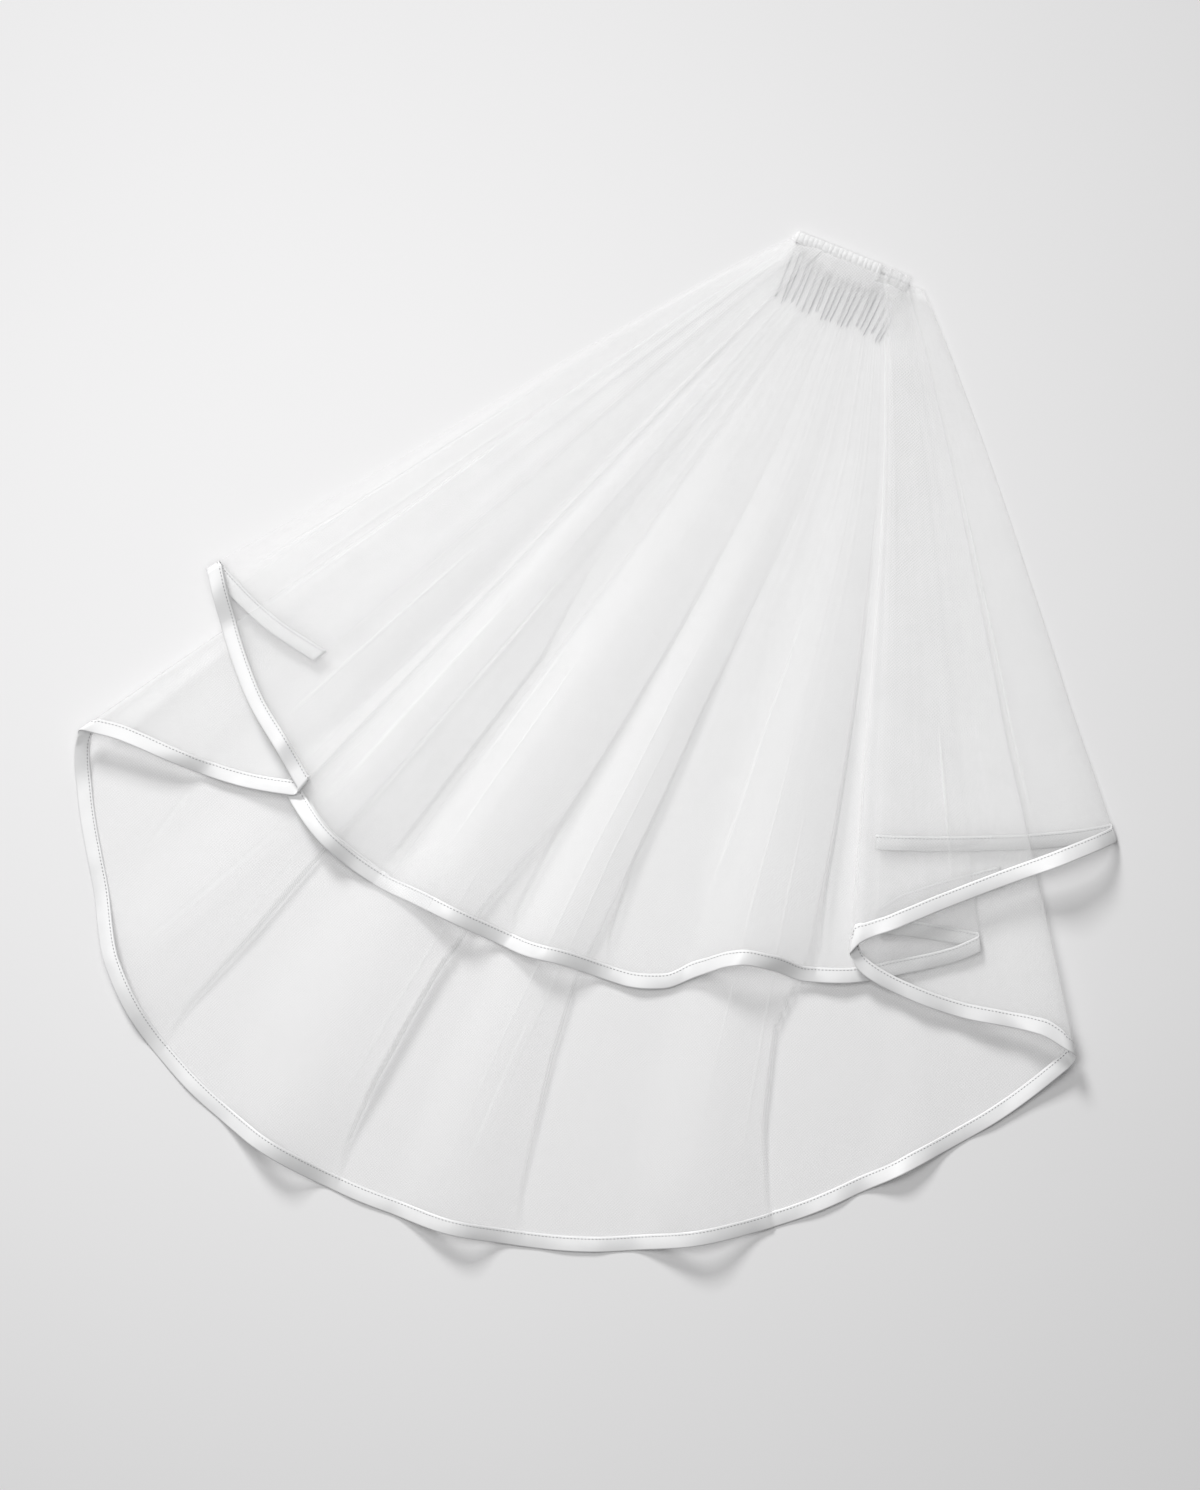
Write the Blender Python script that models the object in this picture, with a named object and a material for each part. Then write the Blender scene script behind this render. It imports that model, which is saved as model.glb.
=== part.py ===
"""Two-tier bridal veil laid flat: gathered tulle tiers, satin-bound hems, shirred heading, wire comb."""

import math
from collections import namedtuple

import bmesh
import bpy
import numpy as np

for old in list(bpy.data.objects):
    bpy.data.objects.remove(old, do_unlink=True)

MM = 0.001

# ---- sizes, in millimetres, and angles, in degrees --------------------------------------------
# Every fold runs along a ray of one fan. Its centre lies behind the comb, and a ray's angle is
# measured from -Y, positive toward +X. A reach is a distance from the fan's centre.
COMB_X, COMB_Y = 20.0, 407.5      # middle of the comb's line, from the middle of the whole outline
FAN_BACK = 60.0                   # fan centre behind the comb's line
HEAD_FRONT = 5.3                  # the tulle's gathered edge, in front of the comb's line
TULLE = 1.0                       # tulle wall
RIBBON = 1.2                      # satin binding wall, two layers of ribbon over the tulle's edge
RIBBON_WIDTH = 12.5
SEAM = 0.3                        # gap between sewn pieces
LAYER = 1.6                       # rise from one lying layer to the next
TURN_STEPS = 6                    # faces round each folded edge
LOFT_FROM = 190.0                 # reach at which a hem starts to stand off the layer below

# ---- common reaches ---------------------------------------------------------------------------
# Every layer has a row at these reaches, so that stacked layers nest. The first row is the
# gathered edge and the last two lie between the last reach and the hem.
# reach: bow = fold's outward bow (deg at 40 deg), over_comb = rise over the comb (mm),
# ridge = share of a ridge's hem height, pleat = share of a pleat's height
Row = namedtuple("Row", "reach bow over_comb ridge pleat")
ROWS = (
    Row(66.0, 1.3, 2.1, 0.00, 0.20),
    Row(100.0, 2.9, 2.1, 0.02, 0.45),
    Row(130.0, 3.1, 2.1, 0.06, 0.80),
    Row(165.0, 2.9, 0.9, 0.12, 1.00),
    Row(210.0, 2.6, 0.0, 0.19, 1.00),
    Row(320.0, 1.6, 0.0, 0.36, 0.70),
    Row(430.0, 0.9, 0.0, 0.52, 0.00),
    Row(880.0, 0.0, 0.0, 1.00, 0.00),
)
OPEN_ROWS = (0.5, 1.0)            # rows past the last common reach, as shares of the way to the hem

# ---- ridges and pleats ------------------------------------------------------------------------
# A ridge is a raised fold that runs out to the hem through every layer. angle = its crest;
# gentle, steep = widths of its two sides (deg); rise = height at the outer hem (mm)
Ridge = namedtuple("Ridge", "angle gentle steep rise")
RIDGES = (
    Ridge(-21.2, 1.9, 1.7, 12.0),
    Ridge(-10.0, 2.5, 2.0, 16.0),
    Ridge(0.2, 2.6, 2.3, 17.0),
    Ridge(13.0, 2.4, 1.9, 15.0),
    Ridge(24.2, 2.0, 1.7, 8.0),
)
RIDGE_SIDE = ((1.0, 0.0), (0.66, 0.22), (0.30, 0.80), (0.0, 1.0))   # share of width, share of height

# A pleat is a small gather that starts at the comb and flattens out.
# angle = its crest; side = half width (deg); rise = height (mm)
Pleat = namedtuple("Pleat", "angle side rise")
PLEATS = (
    Pleat(-36.2, 0.80, 1.3), Pleat(-31.6, 0.70, 1.1), Pleat(-29.6, 0.60, 1.4),
    Pleat(-27.2, 0.70, 1.2), Pleat(-25.0, 0.60, 1.3), Pleat(-18.3, 0.60, 1.2),
    Pleat(-16.6, 0.60, 1.4), Pleat(-14.9, 0.60, 1.3), Pleat(-6.9, 0.60, 1.3),
    Pleat(-5.2, 0.60, 1.4), Pleat(-3.5, 0.60, 1.1), Pleat(3.6, 0.60, 1.3),
    Pleat(5.3, 0.60, 1.1), Pleat(7.0, 0.60, 1.4), Pleat(8.9, 0.70, 1.5),
    Pleat(16.0, 0.60, 1.2), Pleat(17.8, 0.60, 1.4), Pleat(27.2, 0.70, 1.3),
    Pleat(30.0, 0.70, 1.4), Pleat(36.2, 0.80, 1.5), Pleat(38.4, 0.70, 1.1),
)

# ---- the tiers, in the cloth's own order from its left end to its right end --------------------
# A tier is a chain of runs joined by folded edges. A run's rows follow the hem.
# angle, reach = a point of the bound hem; layer = layers of cloth below it; loft = how far the
# hem stands off them (mm)
Stop = namedtuple("Stop", "angle reach layer loft")
LOWER_RUNS = (
    (   # left end, turned under
        Stop(-28.3, 569.0, 2, 7.0), Stop(-33.2, 586.0, 2, 8.5), Stop(-38.0, 600.0, 2, 9.0),
    ),
    (   # left flap, back to the inner fold
        Stop(-38.0, 602.0, 3, 16.5), Stop(-34.9, 612.0, 3, 15.0), Stop(-31.6, 623.0, 3, 14.0),
        Stop(-28.3, 633.0, 3, 13.0), Stop(-25.1, 640.0, 4, 12.0), Stop(-22.8, 649.0, 5, 12.0),
    ),
    (   # left return, out to the side fold
        Stop(-22.8, 661.0, 3, 5.0), Stop(-25.4, 683.0, 2, 7.0), Stop(-28.5, 704.0, 1, 10.0),
        Stop(-32.1, 729.0, 1, 12.0), Stop(-33.5, 744.0, 1, 13.0),
    ),
    (   # the main spread
        Stop(-33.5, 764.0, 0, 2.0), Stop(-31.0, 788.0, 0, 0.0), Stop(-26.9, 819.0, 0, 0.0),
        Stop(-23.0, 853.0, 0, 0.0), Stop(-18.4, 877.0, 0, 0.0), Stop(-13.2, 885.0, 0, 0.0),
        Stop(-8.6, 886.0, 0, 0.0), Stop(-3.6, 881.0, 0, 0.0), Stop(2.1, 869.0, 0, 0.0),
        Stop(6.3, 855.0, 0, 0.0), Stop(10.5, 836.0, 0, 0.0), Stop(15.5, 810.0, 0, 0.0),
        Stop(22.7, 763.0, 0, 0.0), Stop(29.0, 722.0, 0, 0.0), Stop(33.2, 694.0, 0, 2.0),
    ),
    (   # right return
        Stop(33.2, 674.0, 4, 10.0), Stop(31.8, 661.0, 4, 10.0), Stop(26.8, 639.0, 4, 8.0),
        Stop(22.7, 618.0, 4, 6.0), Stop(20.1, 606.0, 4, 5.0),
    ),
    (   # right flap
        Stop(20.1, 586.0, 6, 12.0), Stop(21.5, 575.0, 6, 11.0), Stop(26.3, 558.0, 6, 11.0),
        Stop(31.4, 545.0, 6, 11.0), Stop(35.8, 539.0, 6, 12.0), Stop(40.5, 537.0, 6, 14.0),
    ),
    (   # right end, turned under
        Stop(40.5, 534.0, 5, 5.0), Stop(37.7, 531.0, 5, 6.0), Stop(34.3, 528.0, 5, 6.0),
        Stop(30.4, 524.0, 5, 6.0), Stop(23.6, 518.0, 5, 6.0), Stop(21.8, 514.0, 5, 6.0),
    ),
)
UPPER_RUNS = (
    (   # left end, turned under
        Stop(-13.8, 656.0, 1, 0.8), Stop(-18.3, 655.0, 1, 0.8), Stop(-23.1, 653.0, 1, 1.0),
    ),
    (   # the main spread
        Stop(-23.1, 655.5, 2, 3.0), Stop(-21.7, 660.0, 2, 3.0), Stop(-18.1, 668.0, 2, 2.0),
        Stop(-14.3, 668.0, 2, 2.0), Stop(-10.7, 660.0, 1, 4.0), Stop(-6.9, 658.0, 1, 2.0),
        Stop(-4.0, 654.0, 1, 2.0), Stop(-0.4, 648.0, 1, 4.0), Stop(3.2, 648.0, 1, 2.0),
        Stop(6.0, 641.0, 1, 2.0), Stop(7.9, 629.0, 1, 4.0), Stop(10.2, 614.0, 1, 9.0),
        Stop(13.1, 612.0, 2, 6.0), Stop(15.7, 616.0, 3, 2.0), Stop(18.6, 613.0, 3, 2.0),
        Stop(23.0, 607.0, 3, 3.0), Stop(28.7, 600.0, 3, 4.0),
    ),
    (   # right return
        Stop(28.7, 596.0, 2, 2.0), Stop(25.3, 587.0, 2, 2.0), Stop(21.1, 567.0, 2, 2.0),
    ),
    (   # right end, turned under
        Stop(21.1, 565.0, 1, 0.8), Stop(23.5, 555.0, 1, 0.8), Stop(28.1, 547.0, 1, 0.8),
        Stop(31.0, 544.0, 1, 0.8),
    ),
)

# ---- heading and comb -------------------------------------------------------------------------
# x = place along the comb's line; half = half depth; top = height (mm)
Head = namedtuple("Head", "x half top")
HEADING = (
    Head(-50.0, 3.2, 5.6), Head(-46.0, 4.6, 8.6), Head(-20.0, 4.9, 9.4), Head(8.0, 4.7, 9.2),
    Head(21.0, 4.9, 9.6), Head(25.0, 4.1, 8.4), Head(38.0, 4.0, 8.6), Head(48.0, 3.8, 8.0),
    Head(52.0, 2.6, 5.4),
)
HEAD_GATHERS = 22                 # shirred ruffles along the heading
HEAD_GATHER_DEPTH = 0.55
HEAD_BASE = 2.1
HEAD_SIDES = 10

COMB_TEETH = 20
COMB_WIDTH = 96.0
COMB_BAR = (-4.4, -1.4)           # front and back of the bar, from the comb's line
COMB_TIP = -54.0
COMB_THICK = 1.8
TOOTH_WIDTH = 1.5
TOOTH_TIP = 0.7


def smooth_columns(rows, at):
    """Cubic curve that never overshoots its rows, read at one value of their first field."""
    table = np.array(rows, dtype=float)
    if table[0, 0] > table[-1, 0]:
        table = table[::-1]
    x = table[:, 0]
    y = table[:, 1:]
    at = min(max(at, x[0]), x[-1])
    rise = np.diff(y, axis=0) / np.diff(x)[:, None]
    both = np.where(rise[1:] * rise[:-1] > 0, rise[1:] + rise[:-1], 1.0)
    inner = np.where(rise[1:] * rise[:-1] > 0, 2 * rise[1:] * rise[:-1] / both, 0.0)
    slope = np.vstack((rise[:1], inner, rise[-1:]))
    k = int(min(max(np.searchsorted(x, at) - 1, 0), len(x) - 2))
    span = x[k + 1] - x[k]
    t = (at - x[k]) / span
    a = (1 + 2 * t) * (1 - t) ** 2
    b = t * (1 - t) ** 2
    c = t * t * (3 - 2 * t)
    d = t * t * (t - 1)
    return a * y[k] + b * span * slope[k] + c * y[k + 1] + d * span * slope[k + 1]


def linear(rows, field, reach):
    """One field of the ROWS table at a reach, straight between its rows."""
    return float(np.interp(reach, [r.reach for r in rows], [getattr(r, field) for r in rows]))


def ground_knots():
    """Angles at which the ground under the layers bends, with the ridge and pleat height there."""
    knots = {}
    for ridge in RIDGES:
        for side, width in ((-1, ridge.gentle), (1, ridge.steep)):
            for out, share in RIDGE_SIDE:
                knots[round(ridge.angle + side * width * out, 3)] = (ridge.rise * share, 0.0)
    for pleat in PLEATS:
        for out, share in ((-1, 0.0), (0, 1.0), (1, 0.0)):
            knots[round(pleat.angle + out * pleat.side, 3)] = (0.0, pleat.rise * share)
    angles = sorted(knots)
    extra = [-43.0] + angles + [43.0]
    for low, high in zip(extra, extra[1:]):
        parts = int((high - low) // 2.6) + 1
        for i in range(1, parts):
            knots[round(low + (high - low) * i / parts, 3)] = (0.0, 0.0)
    for end in (-43.0, 43.0):
        knots[end] = (0.0, 0.0)
    return sorted((angle, *heights) for angle, heights in knots.items())


KNOTS = ground_knots()
KNOT_ANGLES = [k[0] for k in KNOTS]
KNOT_RIDGE = [k[1] for k in KNOTS]
KNOT_PLEAT = [k[2] for k in KNOTS]


def place(angle, reach, height):
    """Point of the veil, in metres, from its fan angle, reach and height."""
    turn = math.radians(angle * (1 + linear(ROWS, "bow", reach) / 40.0))
    x = COMB_X + reach * math.sin(turn)
    y = COMB_Y + FAN_BACK - reach * math.cos(turn)
    return np.array((x, y, height)) * MM


def ground(angle, reach):
    """Height of the lowest layer's middle surface."""
    ridge = float(np.interp(angle, KNOT_ANGLES, KNOT_RIDGE)) * linear(ROWS, "ridge", reach)
    pleat = float(np.interp(angle, KNOT_ANGLES, KNOT_PLEAT)) * linear(ROWS, "pleat", reach)
    return TULLE / 2 + linear(ROWS, "over_comb", reach) + ridge + pleat


def stand(stop, reach):
    """Height of a layer above the ground at a reach."""
    share = max(0.0, (reach - LOFT_FROM) / (stop.reach - LOFT_FROM))
    return stop.layer * LAYER + stop.loft * share * share


def tier_columns(runs):
    """Every column of a tier: its ray, its two bounding stops and its place round a folded edge."""
    columns = []
    for index, run in enumerate(runs):
        first, last = run[0], run[-1]
        way = 1 if last.angle > first.angle else -1
        inner = [a for a in KNOT_ANGLES if 0.45 < (a - first.angle) * way and 0.45 < (last.angle - a) * way]
        angles = [first.angle] + sorted(inner, reverse=way < 0) + [last.angle]
        for angle in angles:
            reach, layer, loft = smooth_columns(run, angle)
            stop = Stop(angle, float(reach), float(layer), max(0.0, float(loft)))
            columns.append((stop, stop, 0.0, way))
        if index + 1 < len(runs):
            after = runs[index + 1][0]
            for step in range(1, TURN_STEPS):
                share = step / TURN_STEPS
                reach = last.reach + (after.reach - last.reach) * share
                here = last._replace(reach=reach)
                there = after._replace(reach=reach)
                columns.append((here, there, math.pi * share, way))
    return columns


def section(column, reach):
    """Angle and height of a column at a reach; a folded edge is half a circle between its layers."""
    here, there, turn, way = column
    low = stand(here, reach)
    high = stand(there, reach)
    angle = here.angle + way * math.degrees(abs(high - low) / 2 * math.sin(turn) / reach)
    return angle, (low + high) / 2 + (low - high) / 2 * math.cos(turn)


def surface_point(column, reach):
    """Middle surface of a column at a reach."""
    angle, height = section(column, reach)
    return place(angle, reach, ground(column[0].angle, reach) + height)


def start_reach(column):
    """Reach of the gathered edge, a straight line in front of the comb."""
    reach = FAN_BACK + HEAD_FRONT
    for _ in range(6):
        turn = section(column, reach)[0] * (1 + linear(ROWS, "bow", reach) / 40.0)
        reach = (FAN_BACK + HEAD_FRONT) / math.cos(math.radians(turn))
    return reach


def hem_widths(columns):
    """Length of the binding along each ray, so that it is RIBBON_WIDTH square to the hem."""
    hem = [surface_point(c, c[0].reach) for c in columns]
    widths = []
    for i, column in enumerate(columns):
        along = hem[min(i + 1, len(hem) - 1)] - hem[max(i - 1, 0)]
        ray = surface_point(column, column[0].reach + 1.0) - surface_point(column, column[0].reach - 1.0)
        cross = np.linalg.norm(np.cross(along, ray))
        sine = cross / (np.linalg.norm(along) * np.linalg.norm(ray))
        widths.append(RIBBON_WIDTH / max(sine, 0.5))
    return widths


def grid_points(columns, reaches):
    """Middle-surface points of each column at its list of reaches."""
    return np.array([[surface_point(c, r) for r in rs] for c, rs in zip(columns, reaches)])


def grid_normals(points):
    """Upward unit normals of the main spread's side of the cloth."""
    across = np.gradient(points, axis=0)
    outward = np.gradient(points, axis=1)
    normal = np.cross(outward, across)
    return normal / np.linalg.norm(normal, axis=2, keepdims=True)


def split(mesh, a, b, c, d, along):
    """Two triangles from four corners in turn, cut from a to c, or from b to d."""
    for corners in (((a, b, c), (a, c, d)) if along else ((a, b, d), (b, c, d))):
        mesh.faces.new(corners)


def shell(name, points, normals, wall, ways, lift=0.0):
    """Closed wall of even thickness about a grid of middle points. Stacked layers are cut into
    triangles along the same diagonals, whichever way their run goes."""
    top = points + normals * (wall / 2 + lift) * MM
    bottom = points - normals * (wall / 2 - lift) * MM
    across, along = points.shape[:2]
    mesh = bmesh.new()
    upper = [[mesh.verts.new(top[i, j]) for j in range(along)] for i in range(across)]
    lower = [[mesh.verts.new(bottom[i, j]) for j in range(along)] for i in range(across)]
    for i in range(across - 1):
        for j in range(along - 1):
            for side in (upper, lower):
                split(mesh, side[i][j], side[i][j + 1], side[i + 1][j + 1], side[i + 1][j], ways[i] > 0)
    for i in range(across - 1):
        for j in (0, -1):
            split(mesh, upper[i][j], upper[i + 1][j], lower[i + 1][j], lower[i][j], True)
    for j in range(along - 1):
        for i in (0, -1):
            split(mesh, upper[i][j], upper[i][j + 1], lower[i][j + 1], lower[i][j], True)
    return add_solid(name, mesh)


def add_solid(name, mesh):
    """Object from a closed bmesh with its faces turned outward."""
    bmesh.ops.recalc_face_normals(mesh, faces=mesh.faces)
    data = bpy.data.meshes.new(name)
    mesh.to_mesh(data)
    mesh.free()
    solid = bpy.data.objects.new(name, data)
    bpy.context.scene.collection.objects.link(solid)
    return solid


def add_tier(name, binding_name, runs):
    """One tulle tier and the satin binding that follows its hem."""
    columns = tier_columns(runs)
    widths = hem_widths(columns)
    reaches = []
    edges = []
    for column, width in zip(columns, widths):
        hem = column[0].reach
        inner = hem - width
        cloth_end = inner - SEAM * width / RIBBON_WIDTH
        common = [start_reach(column)] + [r.reach for r in ROWS[1:-1]]
        reaches.append(common + [common[-1] + (cloth_end - common[-1]) * s for s in OPEN_ROWS])
        edges.append([inner, hem])
    points = grid_points(columns, reaches)
    normals = grid_normals(points)
    normals[:, 0, 1] = 0.0
    normals[:, 0] /= np.linalg.norm(normals[:, 0], axis=1, keepdims=True)
    rim = grid_points(columns, edges)
    rim_normals = grid_normals(rim)
    normals[:, -1] = rim_normals[:, 0]
    ways = [column[3] for column in columns]
    shell(name, points, normals, TULLE, ways)
    shell(binding_name, rim, rim_normals, RIBBON, ways, (RIBBON - TULLE) / 2)


def add_heading():
    """Shirred roll of tulle over the comb's bar."""
    mesh = bmesh.new()
    start, end = HEADING[0].x, HEADING[-1].x
    rings = []
    steps = HEAD_GATHERS * 2
    for i in range(steps + 1):
        x = start + (end - start) * i / steps
        half, top = smooth_columns(HEADING, x)
        ruffle = HEAD_GATHER_DEPTH if i % 2 else -HEAD_GATHER_DEPTH
        half, tall = half - 0.3 * abs(ruffle) + 0.3 * ruffle, (top - HEAD_BASE) / 2 + ruffle / 2
        ring = []
        for k in range(HEAD_SIDES):
            turn = 2 * math.pi * (k + 0.5) / HEAD_SIDES
            y = half * math.cos(turn)
            z = HEAD_BASE + tall + tall * math.sin(turn) / math.sin(math.pi * 5 / HEAD_SIDES)
            ring.append(mesh.verts.new(np.array((COMB_X + x, COMB_Y + y, z)) * MM))
        rings.append(ring)
    for a, b in zip(rings, rings[1:]):
        for k in range(HEAD_SIDES):
            n = (k + 1) % HEAD_SIDES
            mesh.faces.new((a[k], a[n], b[n], b[k]))
    mesh.faces.new(rings[0])
    mesh.faces.new(rings[-1][::-1])
    add_solid("heading", mesh)


def comb_edges():
    """Both edges of every tooth where it meets the bar, from left to right."""
    pitch = (COMB_WIDTH - TOOTH_WIDTH) / (COMB_TEETH - 1)
    middles = [-(COMB_WIDTH - TOOTH_WIDTH) / 2 + pitch * tooth for tooth in range(COMB_TEETH)]
    return [m + side * TOOTH_WIDTH / 2 for m in middles for side in (-1, 1)]


def add_comb():
    """Bar with tapered teeth, one closed body of even thickness."""
    mesh = bmesh.new()
    edges = comb_edges()
    front, back = COMB_BAR
    taper = (TOOTH_WIDTH - TOOTH_TIP) / 2
    tips = [x + (taper if i % 2 == 0 else -taper) for i, x in enumerate(edges)]

    def line(xs, y, z):
        return [mesh.verts.new(np.array((COMB_X + x, COMB_Y + y, z)) * MM) for x in xs]

    low = [line(edges, back, 0.0), line(edges, front, 0.0), line(tips, COMB_TIP, 0.0)]
    high = [line(edges, back, COMB_THICK), line(edges, front, COMB_THICK), line(tips, COMB_TIP, COMB_THICK)]
    for i in range(len(edges) - 1):
        rows = 2 if i % 2 == 0 else 1
        for r in range(rows):
            mesh.faces.new((high[r][i], high[r + 1][i], high[r + 1][i + 1], high[r][i + 1]))
            mesh.faces.new((low[r][i], low[r][i + 1], low[r + 1][i + 1], low[r + 1][i]))
        for r in (0, rows):
            mesh.faces.new((high[r][i], high[r][i + 1], low[r][i + 1], low[r][i]))
    for i in range(len(edges)):
        mesh.faces.new((high[1][i], high[2][i], low[2][i], low[1][i]))
    for i in (0, -1):
        mesh.faces.new((high[0][i], high[1][i], low[1][i], low[0][i]))
    add_solid("comb", mesh)


add_tier("lower_tier", "lower_binding", LOWER_RUNS)
add_tier("upper_tier", "upper_binding", UPPER_RUNS)
add_heading()
add_comb()
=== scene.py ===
"""Two-tier bridal veil laid on a pale floor: tulle tiers, satin hems, shirred heading, wire comb."""

import math
from collections import namedtuple

import bmesh
import bpy
import numpy as np
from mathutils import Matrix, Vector


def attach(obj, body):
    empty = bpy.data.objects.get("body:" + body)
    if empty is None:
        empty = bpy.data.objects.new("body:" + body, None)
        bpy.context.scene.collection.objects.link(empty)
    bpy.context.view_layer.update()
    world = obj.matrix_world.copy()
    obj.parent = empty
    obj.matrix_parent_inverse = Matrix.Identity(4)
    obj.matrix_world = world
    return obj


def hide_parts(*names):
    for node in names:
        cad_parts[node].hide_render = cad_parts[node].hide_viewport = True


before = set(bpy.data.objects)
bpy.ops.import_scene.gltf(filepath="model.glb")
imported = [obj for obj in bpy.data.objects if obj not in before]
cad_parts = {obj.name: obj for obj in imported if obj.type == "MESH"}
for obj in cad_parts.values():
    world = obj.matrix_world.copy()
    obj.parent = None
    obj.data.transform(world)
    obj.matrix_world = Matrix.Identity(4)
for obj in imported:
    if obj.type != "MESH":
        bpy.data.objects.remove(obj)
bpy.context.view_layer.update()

MM = 0.001
RNG = np.random.RandomState(7)

# ---- the fan that every fold follows, as in the CAD (mm, degrees) -----------------------------
COMB_X, COMB_Y = 20.0, 407.5
FAN_BACK = 60.0
HEAD_FRONT = 3.2
REST = 0.5                        # middle of the lowest layer above the floor
LAYER = 1.6                       # between layers, at full share
LAYER_SHARES = ((66.0, 0.12), (250.0, 0.20), (450.0, 0.42), (560.0, 0.85), (620.0, 1.0))
LOFT_FROM = 190.0

Row = namedtuple("Row", "reach bow over_comb ridge pleat lean")
ROWS = (
    Row(66.0, 1.3, 4.2, 0.00, 0.10, 1.25),
    Row(80.0, 2.0, 3.6, 0.00, 0.20, 1.25),
    Row(100.0, 2.9, 2.4, 0.00, 0.40, 1.20),
    Row(130.0, 3.1, 1.6, 0.01, 0.60, 1.15),
    Row(165.0, 2.9, 0.7, 0.02, 0.80, 1.10),
    Row(210.0, 2.6, 0.0, 0.05, 1.00, 1.05),
    Row(320.0, 1.6, 0.0, 0.22, 0.70, 0.65),
    Row(430.0, 0.9, 0.0, 0.46, 0.30, 0.33),
    Row(560.0, 0.6, 0.0, 0.68, 0.00, 0.10),
    Row(720.0, 0.3, 0.0, 0.86, 0.00, 0.00),
    Row(880.0, 0.0, 0.0, 1.00, 0.00, 0.00),
)
# sideways lean of the folds toward the comb's right half: fan angle, lean (deg)
LEANS = (
    (-45.0, 0.0), (-22.0, 0.4), (-18.0, 1.5), (-6.5, 3.6), (1.0, 6.5), (8.0, 6.0), (15.0, 3.8),
    (20.0, 1.4), (25.0, 0.5), (45.0, 0.0),
)

# A ridge is a raised fold that runs out to the hem. Its lee side falls to a share of its height,
# then drops as a wall: reach, then the fan angles of its foot, crest and wall, and that share.
# A ridge grows from its start reach and is gone at its end
Fold = namedtuple("Fold", "reach foot crest wall share")
Ridge = namedtuple("Ridge", "rise start end folds")
LOWER_RIDGES = (
    Ridge(10.0, 0, 999, (
        Fold(880, -26.5, -22.0, -18.4, 0.00), Fold(835, -26.5, -21.9, -18.8, 0.40),
        Fold(760, -26.0, -21.6, -18.6, 0.62), Fold(660, -25.4, -21.2, -18.5, 0.62),
        Fold(590, -23.6, -20.6, -18.2, 0.45), Fold(430, -23.0, -20.4, -17.6, 0.36),
    )),
    Ridge(18.0, 0, 999, (
        Fold(890, -14.2, -11.0, -7.1, 0.00), Fold(850, -15.5, -11.2, -7.8, 0.30),
        Fold(800, -17.0, -11.4, -8.1, 0.56), Fold(700, -16.8, -11.4, -8.1, 0.60),
        Fold(640, -14.6, -10.8, -7.6, 0.50), Fold(590, -14.2, -10.2, -6.7, 0.40),
        Fold(550, -14.2, -10.0, -5.7, 0.36), Fold(430, -14.3, -10.2, -5.2, 0.34),
    )),
    Ridge(15.0, 0, 999, (
        Fold(875, -4.0, -0.9, 2.7, 0.00), Fold(840, -4.8, -1.8, 1.8, 0.24),
        Fold(760, -5.4, -2.2, 1.0, 0.40), Fold(666, -5.4, -2.0, 0.1, 0.48),
        Fold(560, -5.2, -1.8, 0.5, 0.54), Fold(430, -5.2, -1.9, 0.4, 0.46),
    )),
    Ridge(16.5, 0, 999, (
        Fold(830, 8.3, 11.6, 15.9, 0.00), Fold(800, 7.6, 10.6, 15.0, 0.25),
        Fold(740, 6.6, 11.0, 14.2, 0.48), Fold(660, 6.6, 11.0, 13.9, 0.48),
        Fold(600, 6.6, 11.4, 15.6, 0.48), Fold(430, 6.6, 11.6, 16.6, 0.45),
    )),
    Ridge(6.5, 640, 999, (
        Fold(765, 20.2, 23.0, 26.4, 0.00), Fold(720, 20.9, 23.5, 26.2, 0.10),
        Fold(660, 20.9, 23.5, 26.2, 0.00),
    )),
    Ridge(5.0, 150, 600, (Fold(600, -36.0, -27.0, -22.0, 0.00), Fold(300, -36.0, -27.0, -22.0, 0.00))),
)
# what the upper tier has beside them
UPPER_RIDGES = (
    Ridge(11.5, 0, 999, (
        Fold(668, -22.9, -19.5, -14.9, 0.00), Fold(630, -22.9, -19.3, -14.7, 0.30),
        Fold(560, -23.6, -19.4, -14.7, 0.42), Fold(450, -23.8, -19.6, -14.8, 0.36),
        Fold(350, -24.0, -20.0, -17.0, 0.10),
    )),
    Ridge(18.5, 0, 999, (
        Fold(660, -12.9, -9.1, -4.7, 0.00), Fold(630, -14.2, -9.5, -5.6, 0.24),
        Fold(560, -14.2, -10.0, -5.7, 0.36), Fold(450, -14.3, -10.2, -5.2, 0.34),
        Fold(350, -14.6, -9.8, -5.0, 0.30),
    )),
    Ridge(17.5, 0, 999, (
        Fold(652, -5.2, -2.2, 2.0, 0.00), Fold(620, -5.3, -2.0, 1.0, 0.36),
        Fold(560, -5.4, -1.9, 0.5, 0.54), Fold(430, -5.2, -1.9, 0.4, 0.46),
        Fold(350, -5.0, -1.8, 0.2, 0.30), Fold(250, -5.0, -1.4, 1.2, 0.30),
    )),
    Ridge(27.0, 0, 999, (
        Fold(616, 6.9, 11.0, 16.0, 0.00), Fold(590, 6.6, 11.2, 16.3, 0.24),
        Fold(540, 5.6, 11.0, 16.2, 0.42), Fold(430, 4.6, 11.0, 16.8, 0.40),
        Fold(330, 4.0, 9.8, 17.0, 0.22),
    )),
)
HEM_CLEAR = 14.0                  # how far from the edge creases stop, mm
PLEAT_SHARE = 0.08
WALL_WIDTH = 0.34                 # fan angle over which a wall drops

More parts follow.
